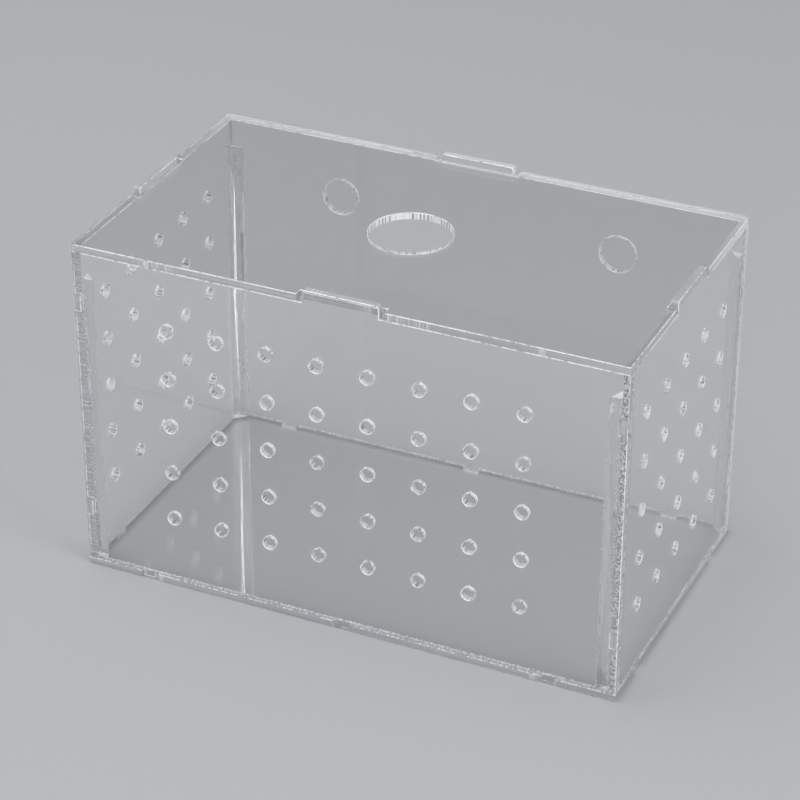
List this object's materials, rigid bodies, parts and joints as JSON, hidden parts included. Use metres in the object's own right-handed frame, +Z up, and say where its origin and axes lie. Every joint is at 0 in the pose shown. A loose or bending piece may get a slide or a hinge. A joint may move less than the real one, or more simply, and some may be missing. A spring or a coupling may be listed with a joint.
{
  "type": "fish breeding box",
  "caption": "Clear sheet box with perforated front and sides, suction cup holes in the back and a lift-off lid with a finger hole, for keeping fry apart in a tank.",
  "frame": {"origin": "middle of the underside of the bottom panel, where the box rests", "axes": "+X along the length to the right as seen from the front, +Y from the perforated front towards the back with the suction cup holes, +Z up through the lid"},
  "size_m": [0.216, 0.124, 0.14],
  "materials": {
    "clear_panel": "clear acrylic sheet, polished faces and frosted laser-cut edges",
    "clear_lid": "clear acrylic sheet, polished faces and frosted laser-cut edges",
    "clear_rod": "clear acrylic rod, glued into the corner"
  },
  "bodies": {
    "box": {"bottom_panel": "clear_panel", "front_panel": "clear_panel", "back_panel": "clear_panel", "left_panel": "clear_panel", "right_panel": "clear_panel", "front_left_corner_rod": "clear_rod", "front_right_corner_rod": "clear_rod", "back_left_corner_rod": "clear_rod", "back_right_corner_rod": "clear_rod"},
    "lid": {"lid": "clear_lid"}
  },
  "joints": [
    {"name": "lid_lift", "type": "slide", "parent": "box", "child": "lid", "axis": [0, 0, 1], "range_m": [0, 0.08]}
  ]
}
